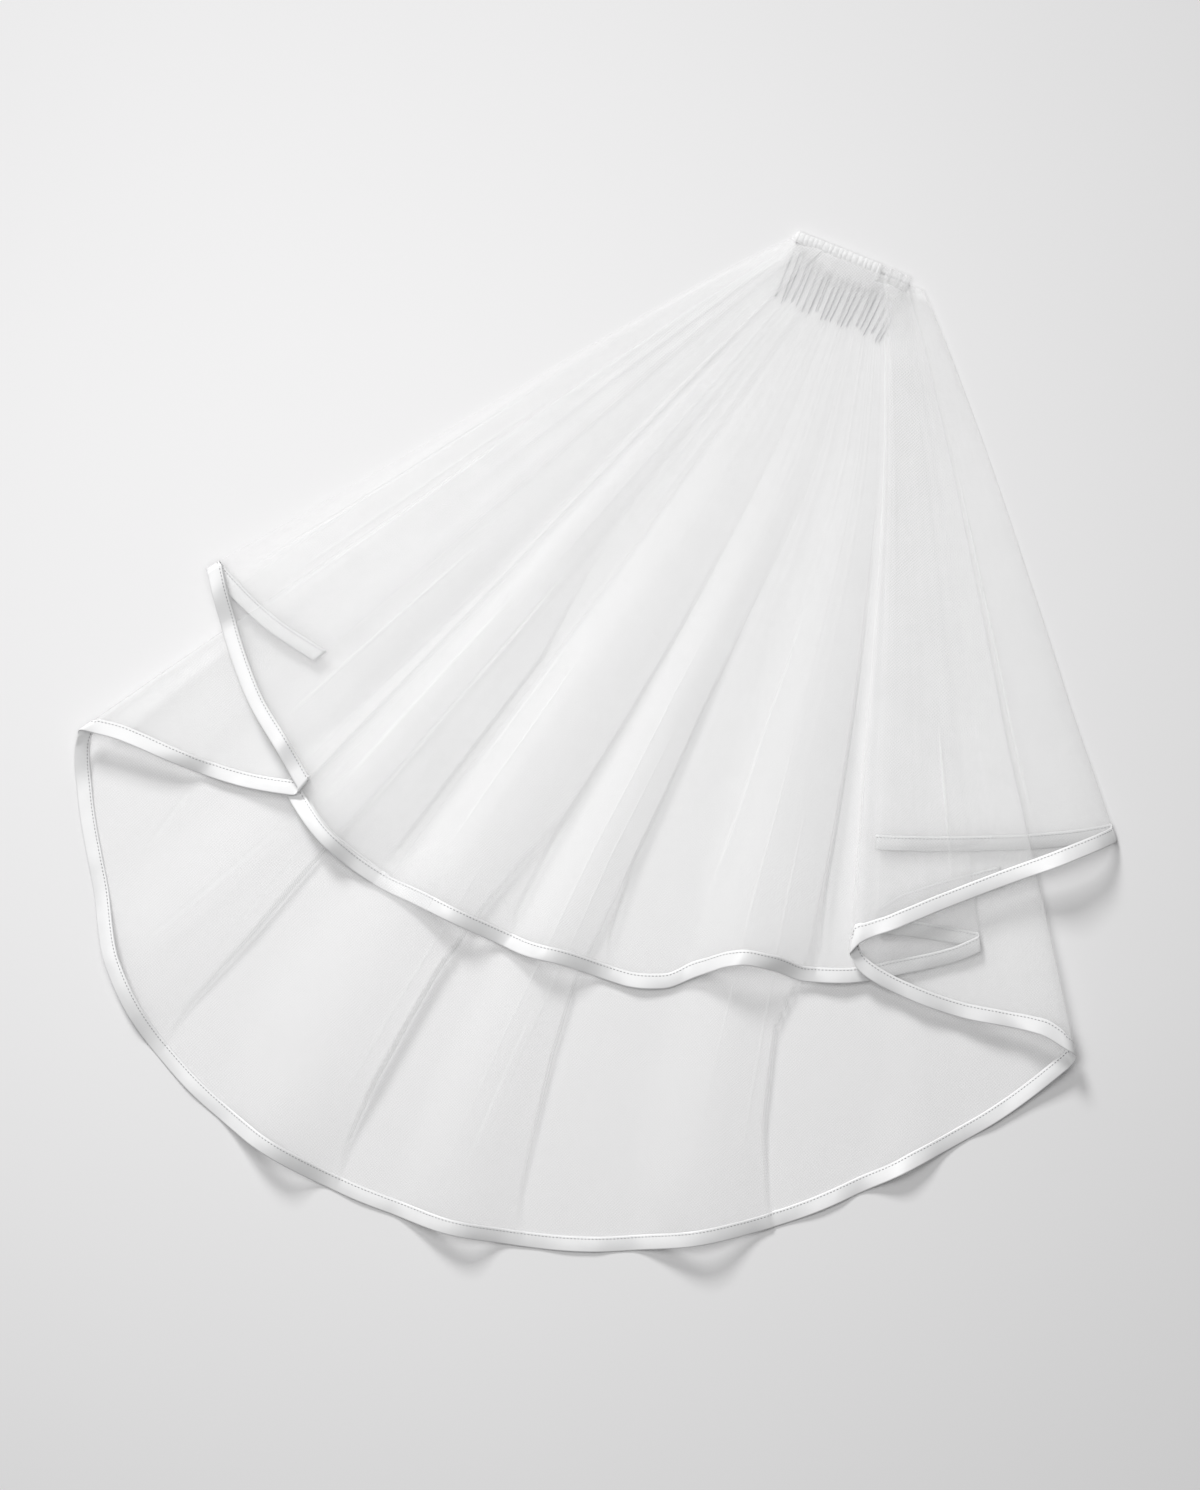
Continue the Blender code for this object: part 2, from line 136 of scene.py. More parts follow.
# A crease is a narrow pressed fold: angle, half width, height, the reaches it runs between, and its
# swing in angle from the first to the last
Crease = namedtuple("Crease", "angle half rise near far swing", defaults=(0.0,))
CREASES = (
    Crease(-38.5, 0.14, -0.3, 260, 600), Crease(-36.7, 0.20, -0.4, 300, 600),
    Crease(-34.6, 0.22, 0.15, 300, 600), Crease(-33.6, 0.24, -0.12, 330, 600),
    Crease(-26.4, 0.20, 0.2, 420, 640), Crease(-20.3, 0.24, 0.1, 420, 640),
    Crease(-17.9, 0.26, -0.4, 380, 640), Crease(-13.3, 0.15, 0.3, 420, 560),
    Crease(-11.7, 0.14, 0.4, 420, 640), Crease(-9.0, 0.12, 0.4, 600, 840),
    Crease(-2.4, 0.12, 0.5, 360, 830), Crease(-1.0, 0.12, 0.4, 440, 815),
    Crease(7.2, 0.26, -0.35, 330, 600), Crease(10.6, 0.14, 0.4, 420, 740),
    Crease(13.3, 0.14, 0.5, 480, 790), Crease(18.9, 0.14, 0.4, 420, 640),
    Crease(26.8, 0.16, 0.2, 420, 560), Crease(34.1, 0.24, -0.6, 220, 560),
    Crease(-1.5, 0.22, -0.7, 680, 840), Crease(-21.1, 0.30, -0.6, 650, 860, -1.9),
    Crease(-19.4, 0.18, -0.4, 660, 800), Crease(-27.6, 0.30, -0.5, 690, 790, 1.6),
)
Pleat = namedtuple("Pleat", "angle side rise")
PLEATS = (
    Pleat(-36.2, 0.8, 1.3), Pleat(-31.6, 0.7, 1.1), Pleat(-29.6, 0.6, 1.4),
    Pleat(-27.2, 0.7, 1.2), Pleat(-25.0, 0.6, 1.3), Pleat(-18.3, 0.6, 1.2),
    Pleat(-16.6, 0.6, 1.4), Pleat(-14.9, 0.6, 1.3), Pleat(-6.9, 0.6, 1.3),
    Pleat(-5.2, 0.6, 1.4), Pleat(-3.5, 0.6, 1.1), Pleat(3.6, 0.6, 1.3),
    Pleat(5.3, 0.6, 1.1), Pleat(7.0, 0.6, 1.4), Pleat(8.9, 0.7, 1.5),
    Pleat(16.0, 0.6, 1.2), Pleat(17.8, 0.6, 1.4), Pleat(27.2, 0.7, 1.3),
    Pleat(30.0, 0.7, 1.4), Pleat(36.2, 0.8, 1.5), Pleat(38.4, 0.7, 1.1),
)

# ---- the tiers: hem stops in the cloth's own order --------------------------------------------
Stop = namedtuple("Stop", "angle reach layer loft")
LOWER_RUNS = (
    (   # left end, turned under
        Stop(-28.1, 577.0, 2, 1.5), Stop(-33.2, 594.0, 2, 5.0), Stop(-38.0, 604.5, 2, 8.0),
    ),
    (   # left flap, back to the inner fold
        Stop(-38.0, 605.0, 3, 13.5), Stop(-34.9, 616.0, 3, 9.0), Stop(-33.6, 621.0, 3, 7.4),
        Stop(-31.6, 628.0, 3, 8.2),
        Stop(-28.3, 638.0, 3, 10.4), Stop(-25.4, 643.5, 3.8, 11.4), Stop(-22.3, 653.0, 3.4, 2.5),
    ),
    (   # left return, out to the side fold
        Stop(-22.3, 661.0, 2, 0.6), Stop(-25.4, 687.0, 1.4, 0.6), Stop(-27.2, 700.0, 1, 2.6),
        Stop(-29.0, 712.0, 1, 9.0), Stop(-32.1, 733.5, 1, 13.5), Stop(-33.8, 751.5, 1, 15.0),
    ),
    (   # the main spread
        Stop(-33.8, 759.0, 0, 11.0), Stop(-33.3, 767.0, 0, 7.0), Stop(-31.0, 788.5, 0, 0.0),
        Stop(-26.9, 822.0, 0, 0.0),
        Stop(-23.0, 859.0, 0, 0.0), Stop(-18.4, 882.5, 0, 0.0), Stop(-13.2, 892.5, 0, 0.0),
        Stop(-8.6, 893.0, 0, 0.0), Stop(-3.6, 887.5, 0, 0.0), Stop(2.1, 875.0, 0, 0.0),
        Stop(6.3, 861.5, 0, 0.0), Stop(10.5, 842.0, 0, 0.0), Stop(15.5, 816.5, 0, 0.0),
        Stop(22.7, 769.0, 0, 0.0), Stop(29.0, 731.0, 0, 0.5), Stop(33.3, 701.0, 0, 9.0),
    ),
    (   # right return
        Stop(33.3, 686.0, 4, 14.5), Stop(31.8, 670.5, 4, 10.5), Stop(29.3, 659.0, 4, 5.5),
        Stop(26.8, 650.0, 4, 3.5), Stop(22.7, 630.5, 4, 3.5), Stop(20.5, 618.0, 4, 4.5),
        Stop(19.3, 608.0, 4, 5.5), Stop(18.9, 600.0, 4, 6.5),
    ),
    (   # right flap
        Stop(18.9, 595.0, 6, 7.0), Stop(19.4, 589.0, 6, 8.0), Stop(20.4, 583.5, 6, 8.5),
        Stop(21.8, 578.5, 6, 8.5), Stop(26.3, 563.0, 6, 7.5),
        Stop(31.4, 551.0, 6, 9.5), Stop(35.8, 545.0, 6, 13.5), Stop(38.8, 542.5, 5, 10.5),
        Stop(40.2, 542.0, 3.6, 5.0), Stop(40.6, 541.8, 2.6, 1.5),
    ),
    (   # right end, turned under
        Stop(40.6, 539.0, 1.4, 0.3), Stop(37.7, 535.0, 1.8, 0.4), Stop(35.2, 531.0, 3.0, 0.8),
        Stop(33.4, 528.5, 4.6, 1.6),
        Stop(30.0, 523.5, 5, 2.5), Stop(24.4, 518.5, 5, 2.0), Stop(20.4, 516.5, 5, 1.5),
    ),
)
UPPER_RUNS = (
    (   # left end, turned under and lying just behind the hem above it
        Stop(-13.8, 672.0, 1, 0.3), Stop(-18.1, 672.0, 1, 0.3), Stop(-21.7, 665.0, 1, 0.3),
        Stop(-23.1, 660.5, 1, 0.3),
    ),
    (   # the main spread
        Stop(-23.1, 661.5, 2, 1.5), Stop(-21.7, 666.0, 2, 3.0), Stop(-18.4, 673.0, 2, 4.0),
        Stop(-16.2, 674.0, 1.7, 1.6), Stop(-14.3, 673.0, 1.2, 0.2), Stop(-10.7, 666.0, 1, 1.5),
        Stop(-6.9, 662.5, 1, 1.0),
        Stop(-4.0, 661.0, 1, 1.0), Stop(-0.4, 655.0, 1, 1.0), Stop(3.2, 654.5, 1, 1.0),
        Stop(6.0, 648.0, 1, 0.8), Stop(8.2, 630.5, 1, 1.0), Stop(10.0, 618.0, 1, 1.0),
        Stop(11.4, 614.5, 1, 1.0), Stop(13.1, 616.0, 2, 0.8), Stop(15.7, 622.0, 3, 0.5),
        Stop(18.6, 621.0, 3, 0.5), Stop(23.0, 613.0, 3, 0.8), Stop(26.7, 606.5, 3, 1.2),
        Stop(28.5, 601.0, 3, 1.2),
    ),
    (   # right return
        Stop(28.5, 598.0, 2, 1.0), Stop(26.8, 592.5, 2, 0.8), Stop(24.0, 585.5, 2, 0.8),
        Stop(21.0, 581.0, 2, 0.8),
    ),
    (   # right end, turned under
        Stop(21.0, 576.0, 1, 0.4), Stop(23.5, 562.0, 1, 0.4), Stop(28.1, 552.0, 1, 0.4),
        Stop(31.0, 549.0, 1, 0.4),
    ),
)

# Swells of a hem: run, fan angle of the crest, half width, height (mm), and how far they reach in.
# A short reach curls the binding alone.
Swell = namedtuple("Swell", "run angle half rise inward")
LOWER_SWELLS = (
    Swell(1, -36.6, 2.8, 4.4, 90.0), Swell(1, -25.2, 2.0, 1.8, 80.0),
    Swell(2, -31.5, 2.6, 2.0, 15.0), Swell(2, -27.9, 1.8, -1.4, 15.0), Swell(2, -24.8, 2.8, 1.8, 15.0),
    Swell(3, -29.8, 4.5, 1.6, 15.0), Swell(3, -24.4, 2.4, 1.4, 40.0), Swell(3, -16.0, 2.2, 1.3, 15.0),
    Swell(3, -5.4, 1.7, 1.2, 15.0), Swell(3, 5.5, 2.5, 1.4, 15.0), Swell(3, 18.3, 2.2, 2.2, 15.0),
    Swell(3, 22.6, 2.6, 3.2, 16.0), Swell(3, 29.5, 3.0, 2.2, 15.0),
    Swell(4, 26.6, 2.6, -3.0, 44.0), Swell(4, 27.6, 2.4, 2.2, 15.0), Swell(4, 31.4, 1.6, 2.0, 15.0),
    Swell(4, 22.0, 1.9, -1.6, 15.0),
    Swell(5, 35.2, 2.6, 3.0, 16.0), Swell(5, 28.5, 3.4, -1.0, 15.0), Swell(5, 21.8, 2.0, 2.4, 15.0),
    Swell(5, 37.8, 2.8, 2.0, 60.0), Swell(6, 31.0, 14.0, -3.6, 15.0),
)
UPPER_SWELLS = (
    Swell(1, -21.4, 1.7, 1.8, 15.0), Swell(1, -12.4, 1.4, 0.8, 15.0), Swell(1, -11.0, 1.0, 0.8, 15.0),
    Swell(1, -4.0, 1.7, 1.8, 15.0), Swell(1, 4.6, 2.2, 1.5, 15.0), Swell(1, 9.8, 1.5, 1.4, 15.0),
    Swell(1, 18.0, 2.0, 1.4, 15.0), Swell(1, -17.2, 2.0, -1.2, 15.0), Swell(1, 13.6, 2.0, -1.4, 15.0),
    Swell(1, 25.5, 5.0, -2.4, 15.0), Swell(2, 25.0, 6.0, -2.4, 15.0),
)

RIBBON_WIDTH = 12.0
COLUMN_STEP = 3.0                 # across the cloth at the hem, mm
WALL_STEP, CREASE_STEP = 0.115, 0.062       # and at walls and creases, degrees
NEAR_ZONE = 0.03                  # a zone closer ahead than this starts no column of its own
TURN_STEPS = 12
NET_ROWS = 90
NET_OVERLAP = 2.6                 # how far the net runs in under the binding
GATHER_COUNT = 120
NET_ALPHA = 0.20                  # share of the surface that one layer of net covers


# ---- shape functions, on arrays ---------------------------------------------------------------
def row(field, reach):
    """One field of ROWS at each reach."""
    return np.interp(reach, [r.reach for r in ROWS], [getattr(r, field) for r in ROWS])


def bell(x):
    """1 at 0, 0 from 1 outward, smooth."""
    return np.where(np.abs(x) < 1, 0.5 + 0.5 * np.cos(np.pi * x), 0.0)


def smooth_curve(rows, at):
    """Cubic curve that never overshoots its rows, read at an array of first-field values."""
    table = np.array(rows, dtype=float)
    if table[0, 0] > table[-1, 0]:
        table = table[::-1]
    x, y = table[:, 0], table[:, 1:]
    rise = np.diff(y, axis=0) / np.diff(x)[:, None]
    same = rise[1:] * rise[:-1] > 0
    inner = np.where(same, 2 * rise[1:] * rise[:-1] / np.where(same, rise[1:] + rise[:-1], 1.0), 0.0)
    slope = np.vstack((rise[:1], inner, rise[-1:]))
    at = np.clip(at, x[0], x[-1])
    k = np.clip(np.searchsorted(x, at) - 1, 0, len(x) - 2)
    span = (x[k + 1] - x[k])[:, None]
    t = (at - x[k])[:, None] / span
    return (
        (1 + 2 * t) * (1 - t) ** 2 * y[k]
        + t * (1 - t) ** 2 * span * slope[k]
        + t * t * (3 - 2 * t) * y[k + 1]
        + t * t * (t - 1) * span * slope[k + 1]
    )


Gather = namedtuple("Gather", "angle width rise near far")
GATHER_RANGES = ((-43, 43), (0.28, 0.75), (0.25, 0.8), (110, 240), (300, 760))
GATHERS = [Gather(*(RNG.uniform(*limits) for limits in GATHER_RANGES)) for _ in range(GATHER_COUNT)]


def ridges(table, angle, reach):
    """Height of a table's ridges."""
    height = 0.0
    for ridge in table:
        at = [f.reach for f in ridge.folds][::-1]
        foot, crest, wall, share = (
            np.interp(reach, at, [getattr(f, field) for f in ridge.folds][::-1])
            for field in ("foot", "crest", "wall", "share")
        )
        up = bell((angle - crest) / (crest - foot))
        past = np.clip((angle - crest) / (wall - crest), 0, 1)
        steep = np.minimum(share / 0.3, 1.0)
        fall = steep * np.cos(np.pi / 2 * past) + (1 - steep) * bell(past)
        drop = share * bell((angle - wall) / WALL_WIDTH)
        shape = np.where(angle < crest, up, np.where(angle < wall, share + (1 - share) * fall, drop))
        size = np.clip((reach - ridge.start) / 120.0, 0, 1) * np.clip((ridge.end - reach) / 80.0, 0, 1)
        height = np.maximum(height, ridge.rise * size * shape * row("ridge", reach))
    return height


def creases(angle, reach, back):
    """How far a point is up each pressed crease, 0 to 1, and the crease's height there."""
    share, height = 0.0, 0.0
    clear = np.clip((back - HEM_CLEAR) / 40.0, 0, 1)
    for c in CREASES:
        length = c.far - c.near
        along = np.clip((reach - c.near) / (0.2 * length), 0, 1)
        along = along * np.clip((c.far - reach) / (0.3 * length), 0, 1)
        swing = c.swing * np.clip((reach - c.near) / length, 0, 1)
        here = clear * along * bell((angle - c.angle - swing) / c.half)
        share = share + here
        height = height + c.rise * here
    return share, height


def ground(angle, reach, back, tables):
    """Height of the lowest layer's surface, with every fold that runs through all layers."""
    height = REST + row("over_comb", reach) * np.interp(angle, (-40, -28), (0.35, 1.0))
    folds = 0.0
    for table in tables:
        folds = np.maximum(folds, ridges(table, angle, reach))
    height = height + folds + creases(angle, reach, back)[1]
    for p in PLEATS:
        height = height + PLEAT_SHARE * p.rise * bell((angle - p.angle) / p.side) * row("pleat", reach)
    clear = np.clip((back - HEM_CLEAR) / 60.0, 0, 1)
    for g in GATHERS:
        along = np.interp(reach, (66.0, g.near, g.far), (0.03, 0.22, 0.0))
        height = height + clear * g.rise * along * bell((angle - g.angle) / g.width)
    return height


def place(angle, reach, height):
    """Points of the veil, in metres, from fan angle, reach and height."""
    lean = np.interp(angle, [a for a, _ in LEANS], [v for _, v in LEANS])
    turn = np.radians(angle * (1 + row("bow", reach) / 40.0) + lean * row("lean", reach))
    x = COMB_X + reach * np.sin(turn)
    y = COMB_Y + FAN_BACK - reach * np.cos(turn)
    return np.stack((x, y, height), axis=-1) * MM


def column_angles(first, last, tables):
    """Fan angles of a run's columns, closer together at walls and creases."""
    walls = [[f.wall for f in r.folds if f.share] for table in tables for r in table]
    zones = [(min(w) - 0.1, max(w) + WALL_WIDTH, WALL_STEP) for w in walls if w]
    for c in CREASES:
        zone_end = c.angle + max(c.swing, 0) + c.half
        zones.append((c.angle + min(c.swing, 0) - c.half - 0.02, zone_end, CREASE_STEP))
    low, high = sorted((first.angle, last.angle))
    plain = math.degrees(COLUMN_STEP / ((first.reach + last.reach) / 2))
    angles = [low]
    while angles[-1] < high:
        at = angles[-1]
        step = min([plain] + [z[2] for z in zones if z[0] <= at <= z[1]])
        ahead = [z[0] for z in zones if at + NEAR_ZONE < z[0] < at + step]
        angles.append(min(ahead) if ahead else at + step)
    angles[-1] = high
    if len(angles) > 2 and high - angles[-2] < 0.4 * plain:
        angles.pop(-2)
    angles = np.array(angles)
    return angles if last.angle > first.angle else angles[::-1]


class Sheet:
    """Columns of one tier in the cloth's order, each read at any reach."""

    def __init__(self, runs, swells, tables):
        self.tables = tables
        self.swells = swells
        parts = []
        for index, run in enumerate(runs):
            first, last = run[0], run[-1]
            way = 1.0 if last.angle > first.angle else -1.0
            angle = column_angles(first, last, tables)
            stop = smooth_curve(run, angle)
            zero = np.zeros(len(angle))
            parts.append(np.column_stack((angle, stop, stop[:, 1:], zero, zero + way, zero + index)))
            if index + 1 < len(runs):
                after = runs[index + 1][0]
                share = np.arange(1, TURN_STEPS) / TURN_STEPS
                one = np.ones(len(share))
                parts.append(np.column_stack((
                    one * last.angle, last.reach + (after.reach - last.reach) * share,
                    one * last.layer, one * last.loft, one * after.layer, one * after.loft,
                    np.pi * share, one * way, one * (index + 0.5),
                )))
        table = np.vstack(parts)
        (self.angle, self.reach, self.layer, self.loft, self.layer_b, self.loft_b,
         self.turn, self.way, self.run) = table.T
        self.loft = np.maximum(self.loft, 0.0)
        self.loft_b = np.maximum(self.loft_b, 0.0)

    def points(self, reach):
        """Surface points for a reach array of one row per column."""
        def col(values):
            return values[:, None]
        share = np.clip((reach - LOFT_FROM) / (col(self.reach) - LOFT_FROM), 0, None) ** 2
        spacing = LAYER * np.interp(reach, *zip(*LAYER_SHARES))
        low = col(self.layer) * spacing + col(self.loft) * share
        high = col(self.layer_b) * spacing + col(self.loft_b) * share
        bulge = np.abs(high - low) / 2 * np.sin(col(self.turn)) / reach
        angle = col(self.angle) + col(self.way) * np.degrees(bulge)
        height = (low + high) / 2 + (low - high) / 2 * np.cos(col(self.turn))
        back = col(self.reach) - reach
        height = height + ground(col(self.angle) + 0 * reach, reach, back, self.tables) + self.ripple(reach)
        return place(angle, reach, height)

    def ripple(self, reach):
        """Waves of the bound edge, dying out into the net."""
        back = self.reach[:, None] - reach
        height = self.wave[:, None] * np.clip(1 - back / 90.0, 0, 1) ** 2
        for s in self.swells:
            here = bell((self.angle - s.angle) / s.half) * bell(self.run - s.run)
            height = height + s.rise * here[:, None] * np.clip(1 - back / s.inward, 0, 1.2) ** 2
        return height

    def arrange(self, seed, size):
        """Length along the hem, and the edge's small waves."""
        self.wave = np.zeros(len(self.angle))
        hem = self.points(self.reach[:, None])[:, 0] / MM
        self.along = np.concatenate(([0.0], np.cumsum(np.linalg.norm(np.diff(hem, axis=0), axis=1))))
        random = np.random.RandomState(seed)
        place_at = 0.0
        while place_at < self.along[-1]:
            place_at += random.uniform(22, 70)
            width = random.uniform(12, 30)
            self.wave += random.uniform(0.3, 1.0) * size * bell((self.along - place_at) / width)

    def start(self):
        """Reach of the gathered edge, a straight line in front of the comb."""
        reach = np.full((len(self.angle), 1), FAN_BACK + HEAD_FRONT)
        for _ in range(8):
            y = self.points(reach)[:, :, 1] / MM
            reach = reach * (FAN_BACK + HEAD_FRONT) / (COMB_Y + FAN_BACK - y)
        return reach

    def widths(self):
        """Length of the binding along each ray, so that it is RIBBON_WIDTH square to the hem."""
        hem = self.points(self.reach[:, None])[:, 0]
        ray = hem - self.points(self.reach[:, None] - 2.0)[:, 0]
        along = np.gradient(hem, axis=0)
        sine = np.linalg.norm(np.cross(along, ray), axis=1)
        sine = sine / (np.linalg.norm(along, axis=1) * np.linalg.norm(ray, axis=1))
        return RIBBON_WIDTH / np.maximum(sine, np.where(self.turn > 0, 0.92, 0.55))


def normals_of(points):
    """Unit normals of a grid of points, up on the main spread."""
    across = np.gradient(points, axis=0)
    outward = np.gradient(points, axis=1)
    normal = np.cross(outward, across)
    return normal / np.maximum(np.linalg.norm(normal, axis=2, keepdims=True), 1e-12)


def soften_normals(thing, normal, steepest):
    """Shading normals of net: its round threads show a steep face less than a solid would."""
    up = np.where(normal[:, :, 2:] < 0, -1.0, 1.0)
    slope = normal[:, :, :2] / np.maximum(np.abs(normal[:, :, 2:]), 0.02)
    slope = slope / np.sqrt(1 + (slope ** 2).sum(axis=2, keepdims=True) / steepest[:, :, None] ** 2)
    soft = np.concatenate((slope, up), axis=2)
    soft /= np.linalg.norm(soft, axis=2, keepdims=True)
    thing.data.normals_split_custom_set_from_vertices(soft.reshape(-1, 3).tolist())


def new_object(name, verts, faces, material, smooth=True):
    """Mesh object from arrays."""
    mesh = bpy.data.meshes.new(name)
    mesh.from_pydata([tuple(v) for v in verts], [], [tuple(f) for f in faces])
    mesh.update()
    if smooth:
        mesh.shade_smooth()
    mesh.materials.append(material)
    thing = bpy.data.objects.new(name, mesh)
    bpy.context.scene.collection.objects.link(thing)
    return thing


def grid_faces(across, along, offset=0, close=False):
    """Quads of a grid; close joins the last row to the first."""
    i, j = np.meshgrid(np.arange(across - 1), np.arange(along if close else along - 1), indexing="ij")
    n = (j + 1) % along
    a = i * along + j
    b = i * along + n
    c = (i + 1) * along + n
    d = (i + 1) * along + j
    return np.stack((a, b, c, d), axis=-1).reshape(-1, 4) + offset


def set_uv(thing, uv):
    """UV map from one pair per vertex."""
    layer = thing.data.uv_layers.new(name="cloth")
    index = np.empty(len(thing.data.loops), dtype=np.int32)
    thing.data.loops.foreach_get("vertex_index", index)
    layer.data.foreach_set("uv", np.asarray(uv, dtype=np.float32)[index].ravel())


def set_value(thing, name, values):
    """A number per vertex that a material reads by name."""
    attribute = thing.data.attributes.new(name, "FLOAT", "POINT")
    attribute.data.foreach_set("value", np.asarray(values).astype(np.float32).ravel())


# ---- materials --------------------------------------------------------------------------------
def material(name):
    """Empty node material and its maker of nodes."""
    made = bpy.data.materials.new(name)
    made.use_nodes = True
    tree = made.node_tree
    tree.nodes.clear()

    def node(kind, **values):
        n = tree.nodes.new(kind)
        for key, value in values.items():
            if hasattr(n, key):
                setattr(n, key, value)
            else:
                n.inputs[key.replace("_", " ")].default_value = value
        return n

    def link(a, b):
        tree.links.new(a, b)

    return made, node, link


def math_node(node, link, operation, a, b=None):
    """Math node fed by sockets or numbers."""
    n = node("ShaderNodeMath", operation=operation)
    for socket, value in zip(n.inputs, (a, b)):
        if value is None:
            continue
        if isinstance(value, (int, float)):
            socket.default_value = value
        else:
            link(value, socket)
    return n.outputs[0]


CELLS_PER_METRE = 950.0


def tulle_material(name="tulle", tint=0.955, net=0.4):
    """See-through net: white threads round open cells, denser where the cloth is gathered or steep."""
    made, node, link = material(name)
    out = node("ShaderNodeOutputMaterial")
    cloth = node("ShaderNodeBsdfPrincipled", Roughness=0.7)
    cloth.inputs["Sheen Weight"].default_value = 0.15
    cloth.inputs["Sheen Roughness"].default_value = 0.5
    cloth.inputs["Specular IOR Level"].default_value = 0.35
    coordinates = node("ShaderNodeTexCoord")
    cloudy = node("ShaderNodeTexNoise", Scale=35.0, Detail=3.0)
    link(coordinates.outputs["Object"], cloudy.inputs["Vector"])
    tone = node("ShaderNodeMapRange", To_Min=tint - 0.02, To_Max=tint + 0.02)
    link(cloudy.outputs["Fac"], tone.inputs["Value"])
    colour = node("ShaderNodeCombineColor")
    for socket in colour.inputs[:3]:
        link(tone.outputs[0], socket)
    link(colour.outputs[0], cloth.inputs["Base Color"])
    through = node("ShaderNodeBsdfTranslucent")
    link(colour.outputs[0], through.inputs["Color"])
    body = node("ShaderNodeMixShader", Fac=0.5)
    link(cloth.outputs[0], body.inputs[1])
    link(through.outputs[0], body.inputs[2])
    cells = node(
        "ShaderNodeTexVoronoi", voronoi_dimensions="2D", feature="DISTANCE_TO_EDGE",
        Scale=CELLS_PER_METRE, Randomness=0.25,
    )
    link(coordinates.outputs["Object"], cells.inputs["Vector"])
    thread = node("ShaderNodeMapRange", From_Min=0.06, From_Max=0.16, To_Min=1.0, To_Max=0.0)
    link(cells.outputs["Distance"], thread.inputs["Value"])
    cover = node("ShaderNodeAttribute", attribute_name="cover")
    # thread share is about a third of a cell, so this keeps the layer's mean cover
    around = math_node(node, link, "MULTIPLY_ADD", thread.outputs[0], net * 2.0)
    around.node.inputs[2].default_value = 1.0 - net * 0.62
    alpha = math_node(node, link, "MULTIPLY", cover.outputs["Fac"], around)
    alpha.node.use_clamp = True
    clear = node("ShaderNodeBsdfTransparent")
    surface = node("ShaderNodeMixShader")
    link(alpha, surface.inputs[0])
    link(clear.outputs[0], surface.inputs[1])
    link(body.outputs[0], surface.inputs[2])
    link(surface.outputs[0], out.inputs["Surface"])
    return made


def satin_material():
    """White satin: a long smooth float with fine ribs across it."""
    made, node, link = material("satin_ribbon")
    out = node("ShaderNodeOutputMaterial")
    cloth = node("ShaderNodeBsdfPrincipled")
    cloth.inputs["Sheen Weight"].default_value = 0.25
    cloth.inputs["Sheen Roughness"].default_value = 0.35
    cloth.inputs["Specular IOR Level"].default_value = 0.6
    cloth.inputs["Anisotropic"].default_value = 0.45
    coordinates = node("ShaderNodeTexCoord")
    cloudy = node("ShaderNodeTexNoise", Scale=60.0, Detail=3.0)
    link(coordinates.outputs["Object"], cloudy.inputs["Vector"])
    tone = node("ShaderNodeValToRGB")
    tone.color_ramp.elements[0].color = (0.62, 0.62, 0.625, 1)
    tone.color_ramp.elements[1].color = (0.69, 0.69, 0.69, 1)
    link(cloudy.outputs["Fac"], tone.inputs["Fac"])
    # painted shade: a per-vertex factor darkens the binding's colour where it lies folded under
    painted_shade = node("ShaderNodeAttribute", attribute_name="painted_shade")
    shaded = node("ShaderNodeVectorMath", operation="SCALE")
    link(tone.outputs["Color"], shaded.inputs[0])
    link(painted_shade.outputs["Fac"], shaded.inputs["Scale"])
    link(shaded.outputs["Vector"], cloth.inputs["Base Color"])
    gloss = node("ShaderNodeMapRange", To_Min=0.30, To_Max=0.42)
    link(cloudy.outputs["Fac"], gloss.inputs["Value"])
    link(gloss.outputs[0], cloth.inputs["Roughness"])
    stretch = node("ShaderNodeMapping")
    stretch.inputs["Scale"].default_value = (1600.0, 160.0, 1.0)
    link(coordinates.outputs["UV"], stretch.inputs["Vector"])
    ribs = node("ShaderNodeTexNoise", Scale=1.0, Detail=2.0)
    link(stretch.outputs["Vector"], ribs.inputs["Vector"])
    bump = node("ShaderNodeBump", Strength=0.12, Distance=0.0002)
    link(ribs.outputs["Fac"], bump.inputs["Height"])
    link(bump.outputs["Normal"], cloth.inputs["Normal"])
    link(cloth.outputs[0], out.inputs["Surface"])
    return made


def thread_painted_shade_material():
    """Sewing thread, painted dark grey, much darker than the ribbon, so that a stitch row reads as the
    shade of its holes; with twisted strands.
    """
    made, node, link = material("thread")
    out = node("ShaderNodeOutputMaterial")
    cloth = node("ShaderNodeBsdfPrincipled", Roughness=0.6)
    coordinates = node("ShaderNodeTexCoord")
    twist = node("ShaderNodeTexNoise", Scale=900.0, Detail=2.0)
    link(coordinates.outputs["Object"], twist.inputs["Vector"])
    tone = node("ShaderNodeValToRGB")
    # painted shade: the thread's colour is dark grey, standing in for the shade in the stitch holes
    tone.color_ramp.elements[0].color = (0.22, 0.22, 0.23, 1)
    tone.color_ramp.elements[1].color = (0.36, 0.36, 0.36, 1)
    link(twist.outputs["Fac"], tone.inputs["Fac"])
    link(tone.outputs["Color"], cloth.inputs["Base Color"])
    link(cloth.outputs[0], out.inputs["Surface"])
    return made


